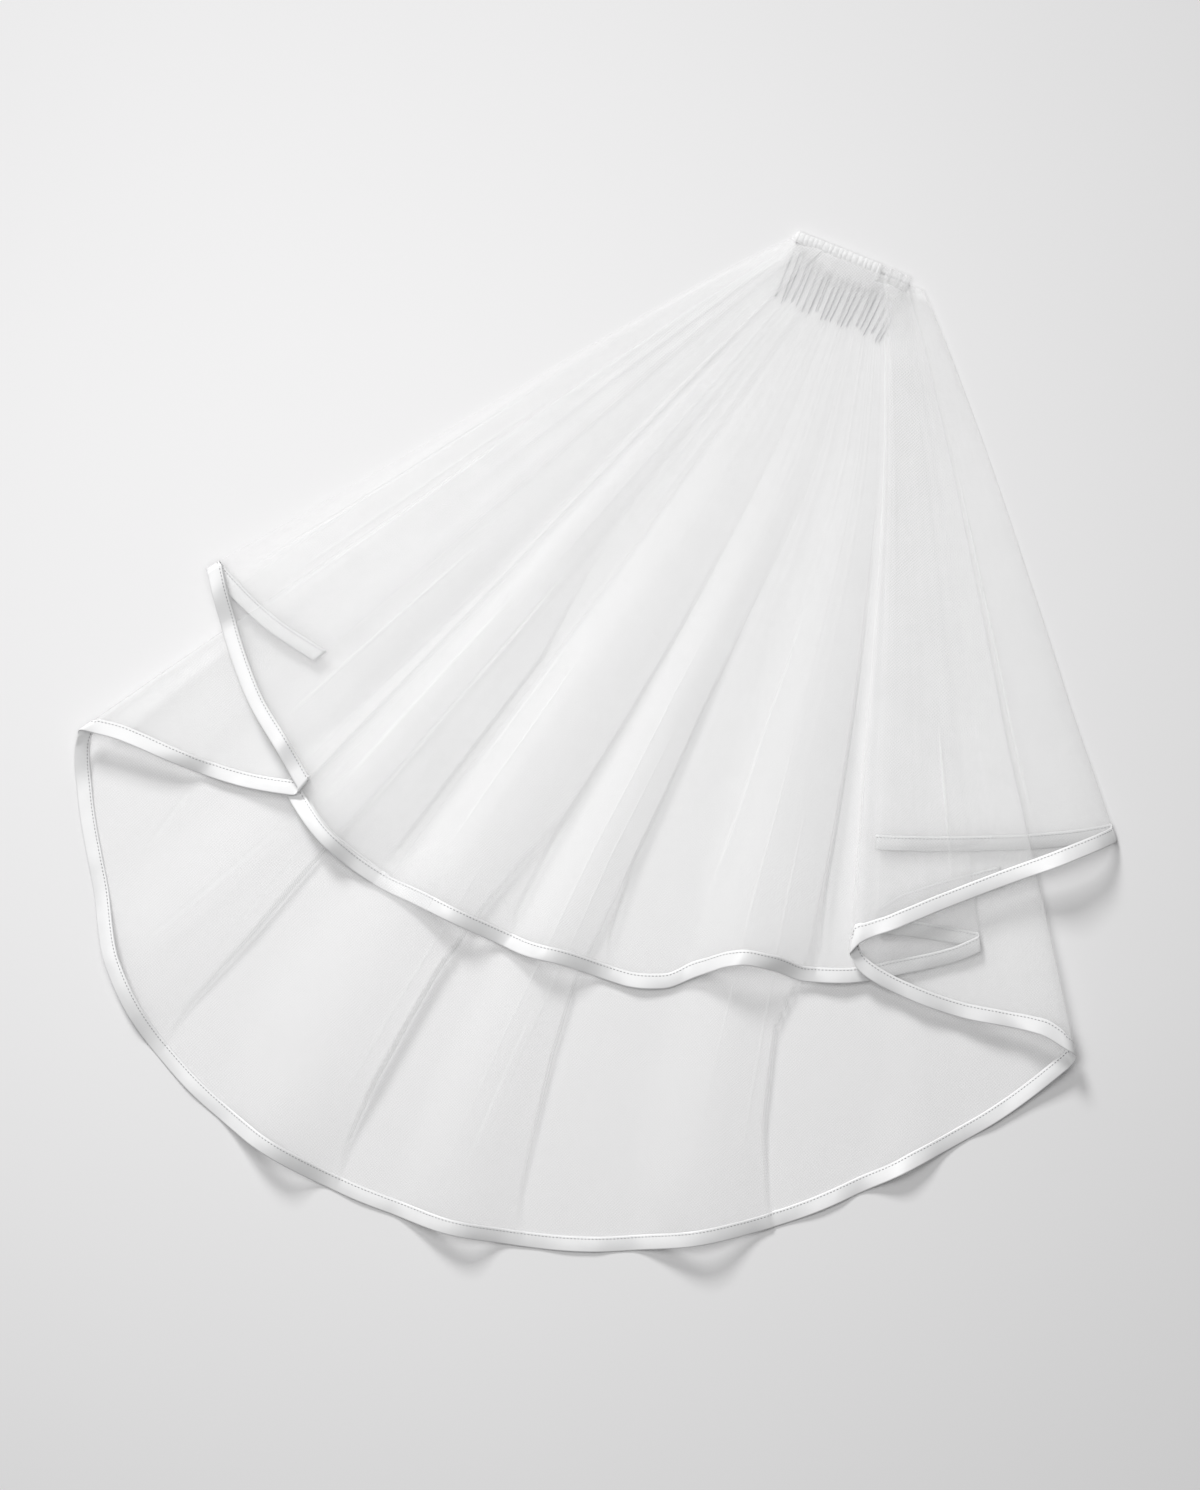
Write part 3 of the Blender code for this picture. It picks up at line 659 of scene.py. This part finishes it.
def wire_material():
    """Bright plated wire with light handling marks."""
    made, node, link = material("comb_wire")
    out = node("ShaderNodeOutputMaterial")
    metal = node("ShaderNodeBsdfPrincipled", Metallic=1.0)
    coordinates = node("ShaderNodeTexCoord")
    marks = node("ShaderNodeTexNoise", Scale=700.0, Detail=4.0)
    link(coordinates.outputs["Object"], marks.inputs["Vector"])
    tone = node("ShaderNodeValToRGB")
    tone.color_ramp.elements[0].color = (0.40, 0.40, 0.42, 1)
    tone.color_ramp.elements[1].color = (0.70, 0.70, 0.71, 1)
    link(marks.outputs["Fac"], tone.inputs["Fac"])
    link(tone.outputs["Color"], metal.inputs["Base Color"])
    gloss = node("ShaderNodeMapRange", To_Min=0.16, To_Max=0.34)
    link(marks.outputs["Fac"], gloss.inputs["Value"])
    link(gloss.outputs[0], metal.inputs["Roughness"])
    link(metal.outputs[0], out.inputs["Surface"])
    return made


TULLE = tulle_material()
SATIN = satin_material()
THREAD_PAINTED_SHADE = thread_painted_shade_material()
WIRE = wire_material()


# ---- net, ribbon and stitches -----------------------------------------------------------------
def streaks(angle, reach):
    """Uneven density of the gathered net, in rays that fade outward."""
    random = np.random.RandomState(21)
    fine = np.interp(angle, np.linspace(-48, 48, 300), random.uniform(-1, 1, 300))
    broad = np.interp(angle, np.linspace(-48, 48, 75), random.uniform(-1, 1, 75))
    near = np.interp(reach, (66, 250, 600, 900), (0.06, 0.09, 0.09, 0.05))
    clump = np.interp(angle, np.linspace(-48, 48, 30), random.uniform(-1, 1, 30))
    packed = np.interp(reach, (68, 80, 110, 150), (0.0, 0.22, 0.30, 0.0))
    return 1 + near * (0.55 * fine + 0.45 * broad) + packed * clump


# layers of net there are for one, by reach: packed at the heading, single from the middle on
GATHERED = ((64.0, 9.0), (72.0, 5.5), (80.0, 2.1), (90.0, 1.35), (115.0, 1.35), (150.0, 1.5), (560.0, 1.0))


def add_net(name, sheet):
    """The tier's net as one open surface."""
    start = sheet.start()
    end = (sheet.reach - sheet.widths() + NET_OVERLAP)[:, None]
    share = np.linspace(0, 1, NET_ROWS)[None, :] ** 1.15
    reach = start + (end - start) * share
    points = sheet.points(reach)
    thing = new_object(name, points.reshape(-1, 3), grid_faces(*points.shape[:2]), TULLE)
    normal = normals_of(points)
    steep = np.where(sheet.turn[:, None] > 0, 0.75, np.interp(reach, (300, 600), (0.65, 0.36)))
    flat = np.clip(np.abs(normal[:, :, 2]), steep, 1) ** np.interp(reach, (600, 700), (1.0, 1.7))
    gathered = np.interp(reach, *zip(*GATHERED))
    angle = sheet.angle[:, None] + 0 * reach
    pressed = creases(angle, reach, sheet.reach[:, None] - reach)[0]
    edge = np.interp(angle - angle.min(), (0.0, 2.5), (0.30, 1.0))
    layers = gathered * edge * streaks(angle, reach) / flat * (1 + 0.7 * pressed)
    cover = 1 - (1 - NET_ALPHA) ** layers
    set_value(thing, "cover", cover)
    uv = np.stack((sheet.along[:, None] * MM + 0 * reach, reach * MM), axis=-1)
    set_uv(thing, uv.reshape(-1, 2))
    limit = np.interp(reach, (66, 250, 350, 450, 560), (0.10, 0.14, 0.30, 0.62, 0.80))
    steepest = np.where(sheet.turn[:, None] > 0, np.minimum(limit, 0.12), limit)
    soften_normals(thing, normal, steepest)
    return thing


RIBBON_SHARES = (0.0, 0.08, 0.5, 0.92, 1.0)
RIBBON_HALF = (0.22, 0.40, 0.42, 0.38, 0.10)      # half thickness across the ribbon, mm
UV_WIDTH = 0.0125                 # width of the ribbon's map, m


def ribbon_grid(sheet):
    """Middle points across the binding and their normals."""
    width = sheet.widths()[:, None]
    inner = sheet.reach[:, None] - width
    reach = inner + width * np.array(RIBBON_SHARES)[None, :]
    points = sheet.points(reach)
    return points, normals_of(points)


def add_ribbon(name, sheet, painted_shade):
    """Satin folded over the net's edge, as one closed flat band; a painted shade, given by column, greys
    it.
    """
    points, normal = ribbon_grid(sheet)
    half = np.array(RIBBON_HALF)[None, :, None] * MM
    ring = np.concatenate((points + normal * half, (points - normal * half)[:, ::-1]), axis=1)
    across, around = ring.shape[:2]
    faces = [tuple(f) for f in grid_faces(across, around, close=True)]
    faces.append(tuple(range(around))[::-1])
    faces.append(tuple((across - 1) * around + k for k in range(around)))
    thing = new_object(name, ring.reshape(-1, 3), faces, SATIN)
    shares = np.array(RIBBON_SHARES + RIBBON_SHARES[::-1])
    along = sheet.along[:, None]
    uv = np.stack((along * MM + 0 * shares[None, :], 0 * along + shares * UV_WIDTH), axis=-1)
    set_uv(thing, uv.reshape(-1, 2))
    # the painted shade, one value per column, on every vertex of the band
    set_value(thing, "painted_shade", np.repeat(painted_shade, around))
    tidy_normals(thing)
    return thing


def tidy_normals(thing):
    """Faces turned outward."""
    mesh = bmesh.new()
    mesh.from_mesh(thing.data)
    bmesh.ops.recalc_face_normals(mesh, faces=mesh.faces)
    mesh.to_mesh(thing.data)
    mesh.free()


STITCH_LENGTH, STITCH_GAP, STITCH_IN = 1.9, 0.9, 2.0
STITCH_HALF_WIDTH, STITCH_RISE = 0.34, 0.16
RIBBON_SKIN = 0.41                # ribbon's surface above its middle at the stitches

# a stitch is a point, two rings of three corners and a point
STITCH_FACES = (
    (0, 1, 2), (0, 2, 3), (0, 3, 1),
    (1, 4, 5, 2), (2, 5, 6, 3), (3, 6, 4, 1),
    (7, 5, 4), (7, 6, 5), (7, 4, 6),
)


def add_stitches(name, sheet):
    """One row of stitches on each face of the binding, near its inner edge."""
    points, normal = ribbon_grid(sheet)
    share = STITCH_IN / RIBBON_WIDTH
    k = 1 + (share - RIBBON_SHARES[1]) / (RIBBON_SHARES[2] - RIBBON_SHARES[1])
    low, t = int(k), k - int(k)
    line = points[:, low] * (1 - t) + points[:, low + 1] * t
    up = normal[:, low]
    length = np.concatenate(([0.0], np.cumsum(np.linalg.norm(np.diff(line, axis=0), axis=1)))) / MM
    verts, faces = [], []
    at = 1.5
    random = np.random.RandomState(5)
    while at + STITCH_LENGTH < length[-1]:
        size = STITCH_LENGTH * random.uniform(0.92, 1.06)
        spots = np.array((at, at + size * 0.25, at + size * 0.75, at + size))
        middle = np.column_stack([np.interp(spots, length, line[:, c]) for c in range(3)])
        lift = np.column_stack([np.interp(spots, length, up[:, c]) for c in range(3)])
        ahead = middle[-1] - middle[0]
        side = np.cross(ahead, lift[0])
        side = side / np.linalg.norm(side) * STITCH_HALF_WIDTH * MM
        for face in (1, -1):
            b = len(verts)
            skin = RIBBON_SKIN * MM * face
            rise = (STITCH_RISE + RIBBON_SKIN) * MM * face
            verts.append(middle[0] + lift[0] * skin)
            for m, u in zip(middle[1:3], lift[1:3]):
                verts += [m + side + u * skin, m + u * rise, m - side + u * skin]
            verts.append(middle[3] + lift[3] * skin)
            faces += [tuple(b + corner for corner in face_of) for face_of in STITCH_FACES]
        at += STITCH_LENGTH + STITCH_GAP
    thing = new_object(name, verts, faces, THREAD_PAINTED_SHADE)
    tidy_normals(thing)
    return thing


# ---- heading and comb -------------------------------------------------------------------------
ROLL_LEFT, ROLL_RIGHT, ROLL_LOBES = -50.0, 23.0, 18
ROLL_HALF, ROLL_TALL = 4.0, 1.7   # half axes of the roll's section between its puffs
PUFF_HALF, PUFF_TALL = 0.45, 0.28  # what a full puff adds to them
ROLL_COVER = 0.9
END_LEFT, END_SPAN, END_DEEP = 20.0, 27.0, 15.0
HEAD_BASE = 2.2


def add_roll():
    """Shirred roll, pinched between its puffs."""
    random = np.random.RandomState(12)
    per = 12
    steps = ROLL_LOBES * per + 1
    around = 28
    s = np.linspace(0, ROLL_LOBES, steps)
    edges = np.cumsum(np.concatenate(([0.0], random.uniform(0.75, 1.25, ROLL_LOBES))))
    edges = edges / edges[-1]
    x = ROLL_LEFT + (ROLL_RIGHT - ROLL_LEFT) * np.interp(s, np.arange(ROLL_LOBES + 1), edges)
    puff = np.abs(np.sin(np.pi * s)) ** 0.55
    lobe = np.clip(s.astype(int), 0, ROLL_LOBES - 1)
    full = random.uniform(0.86, 1.0, ROLL_LOBES)[lobe]
    skew = random.uniform(-0.5, 0.5, ROLL_LOBES)[lobe]
    ends = np.clip(np.minimum(s, ROLL_LOBES - s) / 0.7, 0, 1) ** 0.5
    half = (ROLL_HALF + PUFF_HALF * puff * full) * (0.35 + 0.65 * ends)
    tall = (ROLL_TALL + PUFF_TALL * puff * full) * (0.35 + 0.65 * ends)
    turn = np.linspace(0, 2 * np.pi, around, endpoint=False)
    around_it, along_it = turn[None, :], s[:, None]
    crease = 1 + 0.018 * np.sin(around_it * 5 + along_it * 2.3)
    crease = crease + 0.015 * np.sin(around_it * 9 - along_it * 4.1)
    y = COMB_Y + half[:, None] * np.cos(around_it) * crease + (skew * 0.6)[:, None] * np.sin(around_it)
    z = HEAD_BASE + tall[:, None] * (1 + np.sin(turn)[None, :] * crease)
    z = np.maximum(z, HEAD_BASE)
    xs = COMB_X + x[:, None] + 0.35 * skew[:, None] * np.cos(turn)[None, :]
    verts = np.stack((xs, y, z), axis=-1).reshape(-1, 3) * MM
    faces = [tuple(f) for f in grid_faces(steps, around, close=True)]
    faces.append(tuple(range(around)))
    faces.append(tuple((steps - 1) * around + k for k in range(around))[::-1])
    thing = new_object("heading_roll", verts, faces, ROLL)
    tidy_normals(thing)
    shaped = np.array([v.normal[:] for v in thing.data.vertices])
    soften_normals(thing, shaped[:, None], np.full((len(shaped), 1), 0.45))
    return thing


def add_gathered_end():
    """The heading's right end: loose gathers of the net, not rolled."""
    across, deep = 150, 26
    u = np.linspace(0, 1, across)[:, None]
    v = np.linspace(0, 1, deep)[None, :]
    wave = np.sin(u * 2 * np.pi * 3.6 + 0.9 * np.sin(u * 17.0))
    wave = wave + 0.25 * np.sin(u * 2 * np.pi * 11.0 + 1.0)
    x = END_LEFT + END_SPAN * u + 0.5 * np.cos(u * 60.0) * v
    y = 3.8 - 1.4 * u ** 3 - END_DEEP * v + 0.3 * wave * (1 - v)
    arch = np.sin(np.pi * np.clip(0.15 + 0.85 * v, 0.02, 0.98)) ** 0.6
    z = 3.4 + (3.2 - 0.6 * u ** 4) * arch + 0.16 * wave * (0.35 + 0.65 * arch)
    verts = np.stack((COMB_X + x + 0 * v, COMB_Y + y, z + 0 * u), axis=-1).reshape(-1, 3) * MM
    thing = new_object("heading_end", verts, grid_faces(across, deep), ROLL_END)
    cover = (0.48 + 0.10 * wave + 0 * v).clip(0.2, 0.9) * np.clip((1 - v) / 0.35, 0, 1)
    set_value(thing, "cover", cover)
    return thing


def tube(points, radius, sides=8):
    """Vertices and faces of a capped tube along points, in metres."""
    points = np.asarray(points, dtype=float)
    ahead = np.gradient(points, axis=0)
    ahead /= np.linalg.norm(ahead, axis=1, keepdims=True)
    up = np.array((0.0, 0.0, 1.0))
    side = np.cross(ahead, up)
    side /= np.maximum(np.linalg.norm(side, axis=1, keepdims=True), 1e-9)
    lift = np.cross(side, ahead)
    turn = np.linspace(0, 2 * np.pi, sides, endpoint=False)
    ring = points[:, None] + radius * (
        side[:, None] * np.cos(turn)[None, :, None] + lift[:, None] * np.sin(turn)[None, :, None]
    )
    faces = [tuple(f) for f in grid_faces(len(points), sides, close=True)]
    faces.append(tuple(range(sides)))
    faces.append(tuple((len(points) - 1) * sides + k for k in range(sides))[::-1])
    return ring.reshape(-1, 3), faces


def joined(name, tubes, made):
    """One object from many tubes."""
    verts, faces = [], []
    for v, f in tubes:
        base = len(verts)
        verts += list(v)
        faces += [tuple(i + base for i in q) for q in f]
    thing = new_object(name, verts, faces, made)
    tidy_normals(thing)
    return thing


COMB_TEETH, COMB_HALF = 20, 46.5
WIRE_RADIUS, BAR_WIRE_RADIUS, THREAD_RADIUS = 0.23, 0.46, 0.14
BAR_BACK = -2.9                   # the bar's middle, from the comb's line
TOOTH_TIP = -54.0
LASH_TURNS = 64


def tooth_path(x, lean, gap, tip):
    """Middle line of a hairpin tooth: down one leg, round its bend and back up the other."""
    down = np.linspace(0, 1, 14)
    left, right = (
        [(x + side * gap * (1 - 0.25 * t) + lean * t * t, BAR_BACK + (tip + 3.7) * t) for t in down]
        for side in (-1, 1)
    )
    round_it = np.linspace(0.3, np.pi - 0.3, 7)
    bend = [(x + lean - 0.75 * gap * math.cos(a), tip + 0.8 - 0.8 * math.sin(a)) for a in round_it]
    return left + bend + right[::-1]


def add_comb():
    """Hairpin teeth on a twisted bar, the bar lashed with thread."""
    random = np.random.RandomState(3)
    tubes = []
    xs = np.linspace(-48, 48, 400)
    for phase in (0.0, np.pi):
        turn = xs * 0.9 + phase
        tubes.append(tube(np.column_stack((
            COMB_X + xs, COMB_Y + BAR_BACK + 0.5 * np.cos(turn), 1.0 + 0.48 * np.sin(turn),
        )) * MM, BAR_WIRE_RADIUS * MM))
    for tooth in range(COMB_TEETH):
        x = -COMB_HALF + 2 * COMB_HALF * tooth / (COMB_TEETH - 1) + random.uniform(-0.9, 0.9)
        lean = -0.6 - 2.6 * tooth / COMB_TEETH + random.uniform(-1.5, 1.5)
        gap = random.uniform(0.24, 0.95)
        tip = TOOTH_TIP + random.uniform(0.0, 9.0)
        path = [
            ((COMB_X + a) * MM, (COMB_Y + b) * MM, (0.80 - 0.48 * min(1.0, max(0.0, -b / 14.0))) * MM)
            for a, b in tooth_path(x, lean, gap, tip)
        ]
        tubes.append(tube(path, WIRE_RADIUS * MM))
    comb = joined("comb_wires", tubes, WIRE)
    t = np.linspace(0, LASH_TURNS * 2 * np.pi, LASH_TURNS * 14)
    lash = np.column_stack((
        COMB_X - 47 + 94 * t / t[-1], COMB_Y + BAR_BACK + 1.32 * np.cos(t), 1.28 + 1.12 * np.sin(t),
    )) * MM
    return comb, joined("comb_lashing", [tube(lash, THREAD_RADIUS * MM, 6)], THREAD_PAINTED_SHADE)


ROLL = tulle_material("gathered_tulle", tint=0.93, net=0.0)
ROLL_END = tulle_material("gathered_tulle_end", tint=0.84, net=0.25)

lower = Sheet(LOWER_RUNS, LOWER_SWELLS, (LOWER_RIDGES,))
upper = Sheet(UPPER_RUNS, UPPER_SWELLS, (LOWER_RIDGES[4:], UPPER_RIDGES))
lower.arrange(31, 0.7)
upper.arrange(47, 0.7)

lower_net = add_net("lower_net", lower)
upper_net = add_net("upper_net", upper)
# painted shade: the bindings' colour is darkened where they are folded under the net, to match the photo
# there
lower_painted_shade = np.interp(lower.run, (0, 0.5, 1, 5, 5.5, 6), (0.95, 0.84, 1, 1, 0.90, 0.91))
upper_painted_shade = np.interp(upper.run, (1, 2), (1, 0.86))
upper_painted_shade = upper_painted_shade * np.where(upper.run == 1, np.interp(upper.angle, (18.8, 21.0), (1, 0.86)), 1)
lower_ribbon = add_ribbon("lower_ribbon", lower, lower_painted_shade)
upper_ribbon = add_ribbon("upper_ribbon", upper, upper_painted_shade)
lower_stitches = add_stitches("lower_stitches", lower)
upper_stitches = add_stitches("upper_stitches", upper)
roll = add_roll()
set_value(roll, "cover", np.full(len(roll.data.vertices), ROLL_COVER))
gathered_end = add_gathered_end()
comb, lashing = add_comb()

for piece, node in (
    (lower_net, "lower_tier"), (upper_net, "upper_tier"), (lower_ribbon, "lower_binding"),
    (upper_ribbon, "upper_binding"), (roll, "heading"), (gathered_end, "heading"), (comb, "comb"),
):
    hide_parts(node)
for piece, slot in (
    (lower_net, "tulle"), (upper_net, "tulle"), (roll, "tulle"), (gathered_end, "tulle"),
    (lower_ribbon, "satin_ribbon"), (upper_ribbon, "satin_ribbon"), (lower_stitches, "satin_ribbon"),
    (upper_stitches, "satin_ribbon"), (comb, "comb_wire"), (lashing, "satin_ribbon"),
):
    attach(piece, "root")

# ---- floor, light and camera ------------------------------------------------------------------
def paper_material():
    """Pale matt floor, very slightly uneven."""
    made, node, link = material("paper")
    out = node("ShaderNodeOutputMaterial")
    paper = node("ShaderNodeBsdfPrincipled", Roughness=0.75)
    coordinates = node("ShaderNodeTexCoord")
    grain = node("ShaderNodeTexNoise", Scale=4.0, Detail=2.0)
    link(coordinates.outputs["Object"], grain.inputs["Vector"])
    tone = node("ShaderNodeValToRGB")
    tone.color_ramp.elements[0].color = (0.675, 0.672, 0.675, 1)
    tone.color_ramp.elements[1].color = (0.685, 0.682, 0.685, 1)
    link(grain.outputs["Fac"], tone.inputs["Fac"])
    link(tone.outputs["Color"], paper.inputs["Base Color"])
    link(paper.outputs[0], out.inputs["Surface"])
    return made


FLOOR_HALF = 6
FLOOR_DROP = 0.0002               # floor below the veil's underside, m
corners = [(x * FLOOR_HALF, y * FLOOR_HALF, 0) for x, y in ((-1, -1), (1, -1), (1, 1), (-1, 1))]
floor = new_object("floor", corners, [(0, 1, 2, 3)], paper_material(), smooth=False)
floor.location.z = -FLOOR_DROP

ROLL_ANGLE = math.radians(21.7)
VIEW_CENTRE = (-24.3 * MM, -17.9 * MM)
VIEW_HEIGHT = 1.164
CAMERA_UP = 2.4
SENSOR_HEIGHT = 24.0
WORLD_STRENGTH = 0.262

camera_data = bpy.data.cameras.new("camera")
camera_data.sensor_fit = "VERTICAL"
camera_data.sensor_height = SENSOR_HEIGHT
camera_data.lens = SENSOR_HEIGHT * CAMERA_UP / VIEW_HEIGHT
camera = bpy.data.objects.new("camera", camera_data)
camera.location = (*VIEW_CENTRE, CAMERA_UP)
camera.rotation_euler = (0.0, 0.0, ROLL_ANGLE)
bpy.context.scene.collection.objects.link(camera)
bpy.context.scene.camera = camera


def area_light(name, azimuth, elevation, distance, size, power):
    """Square soft light; azimuth is measured in the picture, clockwise from its top."""
    a = math.radians(azimuth)
    e = math.radians(elevation)
    right, up = math.sin(a), math.cos(a)
    x = right * math.cos(ROLL_ANGLE) - up * math.sin(ROLL_ANGLE)
    y = right * math.sin(ROLL_ANGLE) + up * math.cos(ROLL_ANGLE)
    data = bpy.data.lights.new(name, "AREA")
    data.size = size
    data.energy = power
    lamp = bpy.data.objects.new(name, data)
    lamp.location = (
        VIEW_CENTRE[0] + x * math.cos(e) * distance, VIEW_CENTRE[1] + y * math.cos(e) * distance,
        math.sin(e) * distance,
    )
    aim = Vector((*VIEW_CENTRE, 0.0)) - lamp.location
    lamp.rotation_euler = aim.to_track_quat("-Z", "Y").to_euler()
    bpy.context.scene.collection.objects.link(lamp)
    return lamp


area_light("key", azimuth=-22.0, elevation=28.0, distance=9.0, size=1.9, power=735.0)
area_light("pool", azimuth=-60.0, elevation=77.0, distance=1.3, size=0.8, power=10.2)

world = bpy.data.worlds.new("studio")
world.use_nodes = True
world.node_tree.nodes["Background"].inputs[0].default_value = (1.0, 1.0, 1.0, 1.0)
world.node_tree.nodes["Background"].inputs[1].default_value = WORLD_STRENGTH
bpy.context.scene.world = world
bpy.context.scene.view_settings.view_transform = "Standard"
if hasattr(bpy.context.scene, "cycles"):
    bpy.context.scene.cycles.transparent_max_bounces = 32
    bpy.context.scene.cycles.diffuse_bounces = 8
